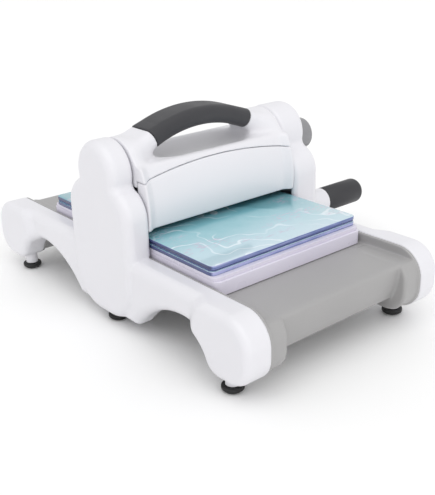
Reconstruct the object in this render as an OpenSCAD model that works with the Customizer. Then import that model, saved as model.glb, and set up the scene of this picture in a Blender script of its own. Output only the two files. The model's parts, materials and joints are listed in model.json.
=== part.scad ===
// Hand-cranked die cutting machine: a pressure-roller press on a slotted base.
// X runs across the machine (crank on +X), Y along the feed direction, Z up.

/* [Base and rails] */
// Length of the machine over the rounded rail ends
body_len = 362; // [300:1:440]
// Height of the rail tops above the table
rail_top = 66.5; // [63:0.5:72]
// Height of the bed that the cutting stack slides on
bed_z = 57.6; // [55:0.2:62]
// Thickness of the bed
bed_t = 3; // [2:0.5:4]
// Height of the lowest line of the rail ends
rail_low = 14; // [12:0.5:18]
// Height of the top of the arch cut under each rail
arch_top = 42; // [38:1:46]
// Width of the rails, from the tray to their recessed outer face
rail_w = 17; // [14:0.5:19]

/* [Side housings] */
// Thickness of the left side housing along X
housing_t = 22; // [21:0.5:28]
// Thickness of the crank-side housing along X
crank_housing_t = 31; // [28:0.5:34]
// Wall of the moulded covers
wall = 3; // [2.2:0.1:3.6]
// Rounding of the housings' outer edges
edge_r = 8; // [4:0.5:8.5]
// Half the depth of a housing along Y
housing_half = 43.5; // [41:0.5:50]
// Height of the housing's lowest line
housing_low = 8.5; // [7:0.5:12]
// Radius of the housing's lower corners
low_r = 36; // [33:0.5:38]
// Radius of the housing's shoulders
shoulder_r = 24; // [20:0.5:26]
// Height of the shoulder centres
shoulder_z = 97; // [94:0.5:102]
// Radius of the round top lobe
lobe_r = 26; // [24:0.5:30]
// Height of the centre of the top lobe
lobe_z = 129; // [127:0.5:132]

/* [Cutting stack] */
// Width of the platform and of the pads on it
platform_w = 155.6; // [120:0.1:190]
// Length of the platform
platform_len = 234; // [190:1:290]
// Thickness of the platform with its leaf
platform_t = 14.4; // [10:0.1:15]
// Length of each cutting pad
pad_len = 222.3; // [180:0.1:280]
// Thickness of each cutting pad
pad_t = 3.2; // [2.4:0.1:3.5]
// Thickness of the cutting die
die_t = 1.3; // [0.8:0.1:1.6]
// Thickness of the card that is being cut
card_t = 0.3; // [0.2:0.05:0.5]
// Place of the stack's middle along Y, at rest
stack_y = -4; // [-20:1:20]

/* [Rollers and gears] */
// Radius of the two steel rollers
roller_r = 16; // [14:0.5:17]
// Radius of the roller journals
journal_r = 8; // [6:0.5:9]
// Free space between the stack and each roller
nip_gap = 0.3; // [0.2:0.05:0.4]
// Teeth of each roller gear
sync_teeth = 22; // [20:1:24]
// Teeth of the driven gear on the upper roller
drive_teeth = 22; // [20:1:24]
// Teeth of the pinion on the crank shaft
pinion_teeth = 10; // [10:1:12]
// Module of the drive gear and pinion
drive_mod = 1.5; // [1.4:0.05:1.6]
// Face width of the gears
gear_w = 8; // [6:0.5:8.5]

/* [Crank] */
// Distance from the crank shaft to the grip
crank_throw = 75.5; // [64:0.5:90]
// Radius of the crank hub
hub_r = 14.5; // [13:0.5:17]
// Length of the crank hub
hub_len = 19; // [18:0.5:24]
// Radius of the crank grip and of the boss that it turns against
grip_r = 12.5; // [11:0.5:14]
// Length of the turning grip with its domed end
grip_len = 52; // [46:0.5:60]
// Gap between the crank-side housing and the grip
grip_reach = 51; // [47:0.5:60]

/* [Carrying handle] */
// Height of the top of the carrying handle
handle_top = 168.3; // [164:0.1:180]
// Half the width of the soft handle grip along X
handle_half = 50; // [46:0.5:54]
// Depth of the handle along Y
handle_d = 32; // [28:0.5:36]
// Thickness of the handle at its middle
handle_t = 14.5; // [12:0.5:16]
// How far the soft grip stands proud of the handle stubs
grip_proud = 0.6; // [0.3:0.1:1]

/* [Feet] */
// Radius of the rubber feet
foot_r = 8.5; // [7:0.5:9]
// Height of the wide part of the feet
foot_h = 5; // [4:0.5:6]

/* [Hidden] */
$fn = 96;

// Running clearance of shafts in their bushes, and slip clearance of fixed pieces
run_gap = 0.05;
slip_gap = 0.1;
// Clear space between the stack and the side walls
side_gap = 1.2;

// Widths across the machine, each measured from its middle plane
passage_half = platform_w / 2 + side_gap;
skirt_t = 2.5;
skirt_top = rail_top - 0.6;
plate_x = passage_half + skirt_t;
plate_t = 4;
gear_x = plate_x + plate_t + 1.5;
outer_x = passage_half + housing_t;
crank_outer_x = passage_half + crank_housing_t;
cavity_x = outer_x - wall - 0.5;
crank_cavity_x = crank_outer_x - wall - 0.5;
pad_x = outer_x + 2.5;
roller_end = gear_x + gear_w + 2.2;
boss_x = crank_outer_x + grip_reach - 18;
grip_x = crank_outer_x + grip_reach;
crank_end = grip_x + grip_len;
// The origin is under the middle of the whole machine, crank included
middle_x = (crank_end - pad_x) / 2;

// Heights of the stack and of the axes
stack_z = bed_z + 2 * nip_gap;
stack_h = platform_t + 2 * pad_t + die_t + card_t;
lower_z = stack_z - nip_gap - roller_r;
upper_z = stack_z + stack_h + nip_gap + roller_r;
sync_mod = (upper_z - lower_z) / sync_teeth;
crank_z = upper_z + drive_mod * (drive_teeth + pinion_teeth) / 2;
grip_z = crank_z - crank_throw;

// Rail outline
end_y = body_len / 2;
arch_y = end_y - 77;
arch_r_mid = 78.6;
arch_r_end = 34;
heel_r = 15;
heel_y = arch_y + sqrt(pow(arch_r_end + heel_r, 2) - pow(rail_low + heel_r - arch_top + arch_r_end, 2));
heel_a = atan2(rail_low + heel_r - arch_top + arch_r_end, heel_y - arch_y);
toe_r = 21.5;
nose_r = 23.5;
rail_in = housing_half - 23.5;
heel_low = 11;
heel_corner = 5;
tail_y = arch_y - sqrt(pow(arch_r_mid + heel_corner, 2)
    - pow(heel_low + heel_corner - arch_top + arch_r_mid, 2));
tail_a = atan2(heel_low + heel_corner - arch_top + arch_r_mid, arch_y - tail_y);
pad_in = end_y - 59;
pad_corner = 9;
pad_edge = 5.5;

// Housing outline, and the rounding of its edge beside the feed passage
inner_edge = 4;
low_y = housing_half - low_r;
low_z = housing_low + low_r;
shoulder_y = housing_half - shoulder_r;
waist_r = 5;
waist = circle_meet([0, lobe_z], lobe_r + waist_r, [shoulder_y, shoulder_z], shoulder_r + waist_r);

// Centre covers
fascia_low = 86;
fascia_r = 72.5;
fascia_y = 34.5;
fascia_z = 100;
fascia_t = 2.5;
seam_top = 131.5;
seam_r = 410;
deck_z = 136;
trough_half = 54;
trough_depth = 8;
trough_w = 46;

// Seam between the fascias and the top cover
seam_gap = 0.2;
// How near the middle the end walls of the fascias reach
flange_y = 28;

// Clear space between gear tips or frame pieces and the mouldings round them
inner_gap = 1;
addendum = 0.8;
sync_tip = sync_mod * (sync_teeth / 2 + addendum);

// Fasteners: places along Y and Z, the second of each pair at the back
rod_r = 5;
screw_r = 2;
head_r = 3.5;
boss_r = 4.5;
rod_low = polar([low_y, low_z], low_r - wall - rod_r - inner_gap, -33);
rod_high = [shoulder_y, shoulder_z + shoulder_r - wall - rod_r - inner_gap];
rod_places = [for (p = [rod_low, rod_high]) for (s = [-1, 1]) [s * p[0], p[1]]];
side_screw = [housing_half - 8.5, max((lower_z + upper_z) / 2, skirt_top + head_r)];
cover_screw_places = concat([[0, lobe_z + 14]], [for (s = [-1, 1]) [s * side_screw[0], side_screw[1]]]);
plate_screw_places = [for (s = [-1, 1]) [s * (low_y + 22.5), low_z + 2.5]];

// Feet: places along X and Y; the middle pair stands under the housings
stem_r = 5.5;
foot_y = end_y - 31.8;
foot_places = [[outer_x - 12, -foot_y], [outer_x - 14.2, 0], [outer_x - 12, foot_y]];
function foot_base(p) = p[1] == 0 ? housing_low : rail_low;
function foot_thread_top(p) =
    p[1] == 0 ? min(housing_low + wall, lower_z - sync_tip - inner_gap / 2) : rail_low + 9;

// ---------- helpers ----------

function polar(c, r, a) = [c[0] + r * cos(a), c[1] + r * sin(a)];
function arc(c, r, a0, a1, n) = [for (i = [0:n]) polar(c, r, a0 + (a1 - a0) * i / n)];
function direction(a, b) = atan2(b[1] - a[1], b[0] - a[0]);

// The right-hand meeting point of two circles, the first above the second
function circle_meet(a, ra, b, rb) =
    let (d = norm(b - a), t = (ra * ra - rb * rb + d * d) / (2 * d), h = sqrt(ra * ra - t * t))
    a + t * (b - a) / d + h * [a[1] - b[1], b[0] - a[0]] / d;

// Outline of a side housing in Y and Z, drawn in by d all round
function housing_half_outline(d) = concat(
    arc([low_y, low_z], low_r - d, -90, 0, 10),
    arc([shoulder_y, shoulder_z], shoulder_r - d, 0, direction([shoulder_y, shoulder_z], waist), 8),
    arc(waist, waist_r + d, direction([shoulder_y, shoulder_z], waist) + 180,
        direction([0, lobe_z], waist) + 180, 4),
    arc([0, lobe_z], lobe_r - d, direction([0, lobe_z], waist), 90, 12));
function housing_outline(d) =
    let (h = housing_half_outline(d), n = len(h))
    concat(h, [for (i = [n - 2:-1:0]) [-h[i][0], h[i][1]]]);

// Outline of one half of a rail, from inside the housing to the rail end, drawn in by d
function rail_outline(d) =
    concat(
        [[rail_in, heel_low + d]],
        arc([tail_y, heel_low + heel_corner], heel_corner - d, -90, -tail_a, 4),
        arc([arch_y, arch_top - arch_r_mid], arch_r_mid + d, 180 - tail_a, 90, 14),
        arc([arch_y, arch_top - arch_r_end], arch_r_end + d, 90, heel_a, 10),
        arc([heel_y, rail_low + heel_r], heel_r - d, 180 + heel_a, 270, 6),
        arc([end_y - toe_r, rail_low + toe_r], toe_r - d, 270, 360, 8),
        arc([end_y - nose_r, rail_top - nose_r], nose_r - d, 0, 90, 8),
        [[rail_in, rail_top - d]]);

// Outline of the raised round pad on the outside of a rail end, drawn in by d
function pad_outline(d) =
    let (low = arch_top - arch_r_end, run = pad_in + pad_corner - arch_y,
         rise = sqrt(pow(arch_r_end + pad_corner, 2) - run * run),
         a = atan2(rise, run))
    concat(
        arc([arch_y, low], arch_r_end + d, a, heel_a, 5),
        arc([heel_y, rail_low + heel_r], heel_r - d, 180 + heel_a, 270, 6),
        arc([end_y - toe_r, rail_low + toe_r], toe_r - d, 270, 360, 8),
        arc([end_y - nose_r, rail_top - nose_r], nose_r - d, 0, 90, 8),
        arc([pad_in + pad_corner, rail_top - pad_corner], pad_corner - d, 90, 180, 5),
        arc([pad_in + pad_corner, low + rise], pad_corner - d, 180, 180 + a, 4));

// Solid between rings of points, each ring [x, outline], closed by fans about one centre
module loft(rings, centre) {
    n = len(rings[0][1]);
    m = len(rings);
    points = concat(
        [for (r = rings) for (p = r[1]) [r[0], p[0], p[1]]],
        [[rings[0][0], centre[0], centre[1]], [rings[m - 1][0], centre[0], centre[1]]]);
    sides = [for (i = [0:m - 2]) for (j = [0:n - 1])
        let (k = (j + 1) % n, a = i * n + j, b = i * n + k, c = a + n, d = b + n)
        each [[c, d, b], [c, b, a]]];
    ends = [for (j = [0:n - 1])
        let (k = (j + 1) % n, last = (m - 1) * n)
        each [[m * n, j, k], [m * n + 1, last + k, last + j]]];
    polyhedron(points = points, faces = concat(sides, ends), convexity = 6);
}

// How far along X and how far drawn in each ring of a rounded outer edge lies
function edge_steps(x0, x1, r) = concat([[x0, 0]],
    [for (a = [0:18:90]) [x1 - r + r * sin(a), r * (1 - cos(a))]]);
function inner_steps(x0, r) = [for (a = [90:-18:18]) [x0 + r - r * sin(a), r * (1 - cos(a))]];

// Extrude a Y-Z outline along X
module along_x(x0, l) {
    translate([x0, 0, 0]) rotate([90, 0, 90]) linear_extrude(height = l) children();
}

// Round bar along X, centred at a place given in Y and Z
module bar(x0, l, r, at = [0, 0]) {
    translate([x0, at[0], at[1]]) rotate([0, 90, 0]) cylinder(r = r, h = l);
}

module both_ends() {
    children();
    mirror([0, 1, 0]) children();
}

module both_sides() {
    children();
    mirror([1, 0, 0]) children();
}

// Everything is drawn about the middle of the feed passage, then placed here
module placed() {
    translate([-middle_x, 0, 0]) children();
}

// ---------- base and housings ----------

module housing_cavity_2d(d) {
    for (s = [-1, 1]) {
        translate([s * low_y, low_z]) circle(r = low_r - d);
        translate([s * shoulder_y, shoulder_z]) circle(r = shoulder_r - d);
    }
    translate([0, lobe_z]) circle(r = lobe_r - d);
    translate([-housing_half + d, low_z]) square([2 * (housing_half - d), shoulder_z - low_z]);
    translate([-low_y, housing_low + d]) square([2 * low_y, low_z - housing_low]);
    translate([-shoulder_y, low_z]) square([2 * shoulder_y, shoulder_z + shoulder_r - d - low_z]);
}

// The right-hand cover; the left one is a thinner mirror image without the crank bore
module side_cover(crank_side) {
    out = crank_side ? crank_outer_x : outer_x;
    room = crank_side ? crank_cavity_x : cavity_x;
    difference() {
        union() {
            difference() {
                union() {
                    loft([for (s = concat(inner_steps(passage_half, inner_edge),
                            edge_steps(passage_half + inner_edge, out, edge_r)))
                        [s[0], housing_outline(s[1])]], [0, shoulder_z]);
                    both_ends() {
                        along_x(plate_x, rail_w - wall) polygon(rail_outline(0));
                        along_x(plate_x, rail_w) polygon(rail_outline(1.5));
                        loft([for (s = edge_steps(plate_x, pad_x, pad_edge))
                            [s[0], pad_outline(s[1])]], [end_y - 26, rail_top - 23]);
                    }
                }
                along_x(passage_half - 1, room - passage_half + 1) {
                    housing_cavity_2d(wall);
                    for (z = [lower_z, upper_z]) translate([0, z]) circle(r = sync_tip + inner_gap);
                }
                for (z = [lower_z, upper_z])
                    bar(plate_x, roller_end + 0.3 - plate_x, journal_r + inner_gap, [0, z]);
                both_ends() {
                    along_x(plate_x - 1, rail_w - wall + 1) polygon(rail_outline(wall));
                    along_x(plate_x - 1, pad_x - wall - plate_x + 1) polygon(pad_outline(wall + 1));
                }
                translate([passage_half - 1, -end_y, 0])
                    cube([skirt_t + 1, body_len, rail_top + 0.2]);
            }
            for (p = cover_screw_places)
                bar(plate_x + plate_t, room - plate_x - plate_t + 1, boss_r, p);
            for (p = foot_places) {
                translate([p[0], p[1], foot_h]) cylinder(r = stem_r, h = foot_base(p) + 1.5 - foot_h);
                translate([p[0], p[1], foot_base(p) + 1])
                    cylinder(r = boss_r, h = foot_thread_top(p) - foot_base(p) - 1);
            }
            if (crank_side) bar(room - 1, wall + 1, 12, [0, crank_z]);
        }
        for (p = cover_screw_places) bar(plate_x + plate_t - 1, 10, screw_r + slip_gap, p);
        for (p = foot_places) translate([p[0], p[1], 0])
            cylinder(r = screw_r + slip_gap, h = foot_thread_top(p) + 1);
        if (crank_side) bar(room - 2, wall + 4, 8.5 + slip_gap, [0, crank_z]);
    }
}

module left_side_cover() {
    color("gainsboro") placed() mirror([1, 0, 0]) side_cover(false);
}

module right_side_cover() {
    color("gainsboro") placed() side_cover(true);
}

// Grey tray: bed, side skirts behind the rails, cheeks and curved aprons at both ends
module base_tray() {
    cheek_x = passage_half - 15;
    cheek_y = end_y - 53;
    apron_y = end_y - 9;
    apron_r = 60;
    apron_a = asin((bed_z - 6 - 27) / apron_r);
    rib_x = 38;
    rib_h = 10;
    color("darkgray") placed() difference() {
        union() {
            translate([-passage_half - skirt_t / 2, -apron_y + 6, bed_z - bed_t])
                cube([2 * passage_half + skirt_t, 2 * apron_y - 12, bed_t]);
            both_sides() {
                along_x(passage_half, skirt_t) {
                    translate([-rail_in, housing_low + 1])
                        square([2 * rail_in, skirt_top - housing_low - 1]);
                }
                both_ends() {
                    along_x(passage_half, skirt_t) polygon(rail_outline(0.6));
                    along_x(cheek_x, passage_half - cheek_x + 1) intersection() {
                        polygon(rail_outline(2));
                        translate([cheek_y, 0]) square([60, bed_z]);
                    }
                    translate([rib_x, 24, bed_z - bed_t - rib_h]) cube([skirt_t, apron_y - 30, rib_h + 0.5]);
                }
            }
            both_ends() along_x(-cheek_x - 1, 2 * cheek_x + 2) polygon(concat(
                arc([apron_y - 6, bed_z - 6], 6, 90, 0, 6),
                arc([apron_y - apron_r, bed_z - 6], apron_r, 0, -apron_a, 6),
                arc([apron_y - apron_r, bed_z - 6], apron_r - fascia_t, -apron_a, 0, 6),
                arc([apron_y - 6, bed_z - 6], 6 - fascia_t, 0, 90, 6)));
        }
        translate([-passage_half + 0.5, -roller_r + 3, bed_z - bed_t - 1])
            cube([2 * passage_half - 1, 2 * roller_r - 6, bed_t + 2]);
        both_sides() {
            bar(passage_half - 1, skirt_t + 2, journal_r + 1.5, [0, lower_z]);
            for (p = rod_places) bar(passage_half - 1, skirt_t + 2, rod_r + slip_gap, p);
            for (p = plate_screw_places) bar(passage_half - 1, skirt_t + 2, screw_r + slip_gap, p);
        }
    }
}

// Wide disc whose rim is the arched seam between the fascias and the top cover
module seam_disc(r) {
    translate([0, 0, seam_top - seam_r]) rotate([90, 0, 0])
        cylinder(r = r, h = 200, center = true, $fn = 720);
}

module fascia() {
    color("whitesmoke") placed() intersection() {
        along_x(-passage_half, 2 * passage_half) {
            intersection() {
                difference() {
                    translate([fascia_y, fascia_z]) circle(r = fascia_r);
                    translate([fascia_y, fascia_z]) circle(r = fascia_r - fascia_t);
                }
                translate([-2 * fascia_r, fascia_low]) square([2 * fascia_r, deck_z - fascia_low]);
            }
            translate([-fascia_r + fascia_y + 1.5, fascia_low]) square([8, fascia_t]);
        }
        seam_disc(seam_r - seam_gap);
    }
    color("whitesmoke") placed() both_sides() intersection() {
        along_x(passage_half - fascia_t, fascia_t) intersection() {
            translate([fascia_y, fascia_z]) circle(r = fascia_r);
            translate([-fascia_r, fascia_low]) square([fascia_r - flange_y, deck_z - fascia_low]);
        }
        seam_disc(seam_r - seam_gap);
    }
}

module front_fascia() {
    fascia();
}

module rear_fascia() {
    mirror([0, 1, 0]) fascia();
}

// Rings of the carrying handle: [x, height of the middle, half depth, half thickness, slope]
function handle_ring(x) =
    let (r = 118, z = handle_top - grip_proud - handle_t / 2 - (r - sqrt(r * r - x * x)),
         t = max(0, (abs(x) - handle_half) / 24))
    [x, z, handle_d / 2 + 5 * t * t, handle_t / 2 + 2.5 * t, -asin(x / r)];

module handle_loft(x0, x1, n, grow) {
    rings = [for (i = [0:n]) let (g = handle_ring(x0 + (x1 - x0) * i / n))
        [for (j = [0:23]) let (a = 15 * j, u = (g[3] + grow) * sin(a), v = (g[2] + grow) * cos(a))
            [g[0] - u * sin(g[4]), v, g[1] + u * cos(g[4])]]];
    m = 24;
    points = [for (r = rings) each r];
    sides = [for (i = [0:n - 1]) for (j = [0:m - 1])
        let (k = (j + 1) % m, a = i * m + j, b = i * m + k)
        each [[a + m, b + m, b], [a + m, b, a]]];
    ends = [[for (j = [0:m - 1]) j], [for (j = [m - 1:-1:0]) n * m + j]];
    polyhedron(points = points, faces = concat(sides, ends), convexity = 4);
}

// Centre cover with the hand trough, the two end drums and the handle stubs
module top_cover() {
    drum_r = lobe_r - 0.5;
    trough_r = (trough_w * trough_w / 4 + trough_depth * trough_depth) / (2 * trough_depth);
    color("whitesmoke") placed() difference() {
        union() {
            difference() {
                along_x(-passage_half, 2 * passage_half) intersection() {
                    translate([fascia_y, fascia_z]) circle(r = fascia_r);
                    translate([-fascia_y, fascia_z]) circle(r = fascia_r);
                    translate([-50, 119]) square([100, deck_z - 119]);
                }
                both_ends() intersection() {
                    seam_disc(seam_r);
                    translate([-100, 27, 100]) cube([200, 20, 60]);
                }
            }
            both_sides() {
                intersection() {
                    bar(trough_half + 6, passage_half - trough_half - 6, drum_r, [0, lobe_z]);
                    translate([0, -50, 119]) cube([200, 100, 60]);
                }
                intersection() {
                    handle_loft(handle_half, handle_half + 24, 6, 0);
                    translate([0, -50, 119]) cube([passage_half, 100, 60]);
                }
            }
        }
        bar(-trough_half, 2 * trough_half, trough_r, [0, deck_z - trough_depth + trough_r]);
        translate([-passage_half + wall, -24, 118]) cube([2 * (passage_half - wall), 48, 6.5]);
        both_sides() bar(handle_half - 1, 15, 3 + slip_gap, [0, handle_ring(handle_half)[1] - 1]);
    }
}

module handle_grip() {
    color("dimgray") placed() handle_loft(-handle_half, handle_half, 24, grip_proud);
}

// ---------- frame inside the housings ----------

module plate_2d() {
    difference() {
        intersection() {
            housing_cavity_2d(wall + inner_gap / 2);
            translate([-housing_half, rod_low[1] - rod_r - inner_gap]) square([2 * housing_half, 200]);
        }
        for (z = [lower_z, upper_z]) translate([0, z]) circle(r = journal_r + 3 + slip_gap);
        for (p = rod_places) translate(p) circle(r = screw_r + slip_gap);
        for (p = concat(cover_screw_places, plate_screw_places))
            translate(p) circle(r = screw_r + slip_gap);
    }
}

module side_plate(crank_side) {
    difference() {
        along_x(plate_x, plate_t) plate_2d();
        for (p = rod_places)
            translate([plate_x + plate_t - 2.4, p[0], p[1]]) rotate([0, 90, 0])
                cylinder(r1 = screw_r + slip_gap, r2 = 4.7, h = 2.5);
        if (crank_side) bar(plate_x - 1, plate_t + 2, 7 + slip_gap, [0, crank_z]);
    }
}

module left_side_plate() {
    color("silver") placed() mirror([1, 0, 0]) side_plate(false);
}

module right_side_plate() {
    color("silver") placed() side_plate(true);
}

module tie_rods() {
    color("silver") placed() for (p = rod_places) difference() {
        bar(-plate_x, 2 * plate_x, rod_r, p);
        both_sides() bar(plate_x - 16, 17, screw_r + slip_gap, p);
    }
}

module tie_rod_screws() {
    color("dimgray") placed() both_sides() for (p = rod_places) {
        bar(plate_x - 14, plate_t + 12, screw_r, p);
        translate([plate_x + plate_t - 2.2, p[0], p[1]]) rotate([0, 90, 0])
            cylinder(r1 = screw_r, r2 = 4.2, h = 2.2);
    }
}

module cover_screws() {
    color("dimgray") placed() both_sides() for (p = cover_screw_places) {
        bar(plate_x, 11, screw_r, p);
        bar(plate_x - 2, 2, head_r, p);
    }
}

module plate_screws() {
    color("dimgray") placed() both_sides() for (p = plate_screw_places) {
        bar(passage_half, skirt_t + plate_t, screw_r, p);
        bar(passage_half - 2.4, 2.4, head_r, p);
    }
}

module bush(x0, l, bore_r, out_r, z) {
    difference() {
        bar(x0, l, out_r, [0, z]);
        bar(x0 - 1, l + 2, bore_r, [0, z]);
    }
}

module lower_roller_bushes() {
    color("darkgoldenrod") placed() both_sides()
        bush(plate_x, plate_t, journal_r + run_gap, journal_r + 3, lower_z);
}

module upper_roller_bushes() {
    color("darkgoldenrod") placed() both_sides()
        bush(plate_x, plate_t, journal_r + run_gap, journal_r + 3, upper_z);
}

module crank_shaft_bushes() {
    color("darkgoldenrod") placed() {
        bush(plate_x, plate_t, 4 + run_gap, 7, crank_z);
        bush(crank_cavity_x - 1, crank_outer_x - crank_cavity_x + 1.5, 5 + run_gap, 8.5, crank_z);
    }
}

module thrust_washers() {
    color("silver") placed() {
        both_sides() for (z = [lower_z, upper_z])
            bush(plate_x + plate_t + 0.1, 1, journal_r + 0.3, journal_r + 3.5, z);
    }
}

module rubber_feet() {
    color("black") placed() both_sides() for (p = foot_places)
        translate([p[0], p[1], 0]) difference() {
            union() {
                cylinder(r1 = foot_r - 2.5, r2 = foot_r - 1.2, h = 1.6);
                translate([0, 0, 1.6]) cylinder(r = foot_r, h = foot_h - 1.6);
            }
            translate([0, 0, -1]) cylinder(r = screw_r + slip_gap, h = 30);
            translate([0, 0, -1]) cylinder(r = 4, h = 3.4);
        }
}

module foot_screws() {
    color("dimgray") placed() both_sides() for (p = foot_places) translate([p[0], p[1], 0.8]) {
        cylinder(r = 3.6, h = 1.6);
        cylinder(r = screw_r, h = foot_thread_top(p) - 0.8);
    }
}

// ---------- rollers and gears ----------

function involute(a) = tan(a) * 180 / PI - a;

// Involute gear outline; thin is how much each tooth is narrowed for backlash
function gear_outline(mod, teeth, thin) =
    let (pa = 25, rp = mod * teeth / 2, rb = rp * cos(pa), ro = rp + addendum * mod, rr = rp - 1.1 * mod,
         rs = max(rb, rr) + 0.01, half = 90 / teeth - thin / 2 / rp * 180 / PI + involute(pa), n = 4)
    [for (k = [0:teeth - 1]) let (c = k * 360 / teeth, base = half - involute(acos(rb / rs)))
        each concat(
            [polar([0, 0], rr, c - base)],
            [for (i = [0:n]) let (r = rs + (ro - rs) * i / n)
                polar([0, 0], r, c - half + involute(acos(rb / r)))],
            [for (i = [n:-1:0]) let (r = rs + (ro - rs) * i / n)
                polar([0, 0], r, c + half - involute(acos(rb / r)))],
            [polar([0, 0], rr, c + base)])];

// A gear along X whose face points at angle face, with a tooth there or else a gap
module gear(x0, mod, teeth, face, tooth, z, bore) {
    key_w = 3;
    turn = face + (tooth ? 0 : 180 / teeth);
    translate([x0, 0, z]) rotate([turn, 0, 0]) difference() {
        along_x(0, gear_w) polygon(gear_outline(mod, teeth, 0.3));
        bar(-1, gear_w + 2, bore + slip_gap / 2);
        rotate([-turn, 0, 0]) translate([-1, -key_w / 2 - slip_gap / 2, 0])
            cube([gear_w + 2, key_w + slip_gap, bore + 1.4]);
    }
}

// Journals, body and keyways of a roller; the right journal ends at right_end
module roller(z, left_end, right_end, key_sides) {
    body_half = passage_half - 1;
    difference() {
        union() {
            bar(-body_half, 2 * body_half, roller_r, [0, z]);
            bar(-left_end, left_end + right_end, journal_r, [0, z]);
        }
        for (s = key_sides) {
            translate([s > 0 ? gear_x : -gear_x - gear_w, -1.5 - slip_gap / 2, z + journal_r - 1.6])
                cube([gear_w, 3 + slip_gap, 3]);
            translate([s * (gear_x + gear_w + 0.75), 0, z]) rotate([0, 90, 0]) difference() {
                cylinder(r = journal_r + 1, h = 1.1, center = true);
                cylinder(r = journal_r - 0.7, h = 3, center = true);
            }
        }
    }
}

module lower_roller() {
    color("lightsteelblue") placed()
        roller(lower_z, roller_end, plate_x + plate_t + 1.3, [-1]);
}

module upper_roller() {
    color("lightsteelblue") placed()
        roller(upper_z, roller_end, roller_end, [-1, 1]);
}

module lower_sync_gear() {
    color("gray") placed()
        gear(-gear_x - gear_w, sync_mod, sync_teeth, 90, true, lower_z, journal_r);
}

module upper_sync_gear() {
    color("gray") placed()
        gear(-gear_x - gear_w, sync_mod, sync_teeth, -90, false, upper_z, journal_r);
}

module drive_gear() {
    color("gray") placed() gear(gear_x, drive_mod, drive_teeth, 90, true, upper_z, journal_r);
}

module key(s, z) {
    translate([s > 0 ? gear_x + 0.1 : -gear_x - gear_w + 0.1, -1.5, z + journal_r - 1.5])
        cube([gear_w - 0.2, 3, 2.8]);
}

module lower_gear_key() {
    color("slategray") placed() key(-1, lower_z);
}

module upper_gear_keys() {
    color("slategray") placed() {
        key(-1, upper_z);
        key(1, upper_z);
    }
}

module circlip(s, z) {
    translate([s * (gear_x + gear_w + 0.75), 0, z]) rotate([0, 90, 0]) difference() {
        cylinder(r = journal_r + 1.6, h = 0.9, center = true);
        cylinder(r = journal_r - 0.6, h = 3, center = true);
        rotate([0, 0, 180]) translate([0, -2, -2]) cube([20, 4, 4]);
    }
}

module lower_gear_circlip() {
    color("slategray") placed() circlip(-1, lower_z);
}

module upper_gear_circlips() {
    color("slategray") placed() {
        circlip(-1, upper_z);
        circlip(1, upper_z);
    }
}

// ---------- crank ----------

hub_x = crank_outer_x + 2.3;
tongue_x = hub_x + 2.5;
tongue_t = 9;
arm_t = 14;
shaft_end = hub_x + hub_len - 7.5;

// Crank shaft with the pinion cut on it; a tooth gap faces the drive gear below
module crank_shaft() {
    color("silver") placed() difference() {
        union() {
            bar(plate_x, gear_x + gear_w + 1 - plate_x, 4, [0, crank_z]);
            bar(gear_x + gear_w + 1, shaft_end - gear_x - gear_w - 1, 5, [0, crank_z]);
            translate([gear_x, 0, crank_z]) rotate([-90 + 180 / pinion_teeth, 0, 0])
                along_x(0, gear_w) polygon(gear_outline(drive_mod, pinion_teeth, 0.3));
        }
        bar(shaft_end - 14, 15, screw_r + slip_gap, [0, crank_z]);
    }
}

module crank_hub() {
    color("gray") placed() difference() {
        union() {
            bar(hub_x, hub_len - 2, hub_r, [0, crank_z]);
            bar(hub_x, hub_len, hub_r - 2, [0, crank_z]);
            translate([hub_x + hub_len - 2, 0, crank_z]) rotate([0, 90, 0])
                rotate_extrude() translate([hub_r - 2, 0]) circle(r = 2);
        }
        bar(hub_x - 1, hub_len, 5 + slip_gap, [0, crank_z]);
        bar(shaft_end + 2, hub_len, 8, [0, crank_z]);
        translate([tongue_x - slip_gap, -8 - slip_gap, crank_z - 30])
            cube([tongue_t + 2 * slip_gap, 16 + 2 * slip_gap, 30 + 8 + slip_gap]);
    }
}

// Swan-neck arm from the hub down and out to the round boss behind the grip
module crank_arm() {
    n = 14;
    mid_x = tongue_x + tongue_t / 2;
    rings = [for (i = [0:n]) let (t = i / n, s = t * t * (3 - 2 * t),
            drop = crank_z - 22 - grip_z,
            x = mid_x + (boss_x + 2 - mid_x) * pow(t, 2.2),
            z = grip_z + drop * pow(1 - t, 1.5),
            slope = i == n ? 0 : 90 * pow(1 - t, 1.1),
            w = 8 + (grip_r - 0.3 - 8) * s, h = arm_t / 2 - 0.4 + (grip_r - arm_t / 2 + 0.1) * s)
        [for (j = [0:23]) let (a = 15 * j, u = h * sin(a), v = w * cos(a))
            [x + u * sin(slope), v, z + u * cos(slope)]]];
    m = 24;
    color("whitesmoke") placed() difference() {
        union() {
            polyhedron(points = [for (r = rings) each r], faces = concat(
                [for (i = [0:n - 1]) for (j = [0:m - 1])
                    let (k = (j + 1) % m, a = i * m + j, b = i * m + k)
                    each [[a + m, b + m, b], [a + m, b, a]]],
                [[for (j = [0:m - 1]) j], [for (j = [m - 1:-1:0]) n * m + j]]), convexity = 6);
            intersection() {
                translate([tongue_x, -8, crank_z - 24]) cube([tongue_t, 16, 32]);
                bar(tongue_x, tongue_t, 24, [0, crank_z]);
            }
            bar(boss_x, grip_x - boss_x - nip_gap, grip_r, [0, grip_z]);
        }
        bar(tongue_x - 1, tongue_t + 2, 5 + slip_gap, [0, crank_z]);
        bar(boss_x + 2, 30, 4 + slip_gap / 2, [0, grip_z]);
    }
}

module crank_screw() {
    color("dimgray") placed() {
        bar(shaft_end - 12, 14.5, screw_r, [0, crank_z]);
        bar(shaft_end + 2, 2.2, 5, [0, crank_z]);
    }
}

module crank_hub_cap() {
    color("gray") placed() bar(hub_x + hub_len - 2.8, 2.5, 8 - slip_gap, [0, crank_z]);
}

spindle_head = grip_x + grip_len - 10;

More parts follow.
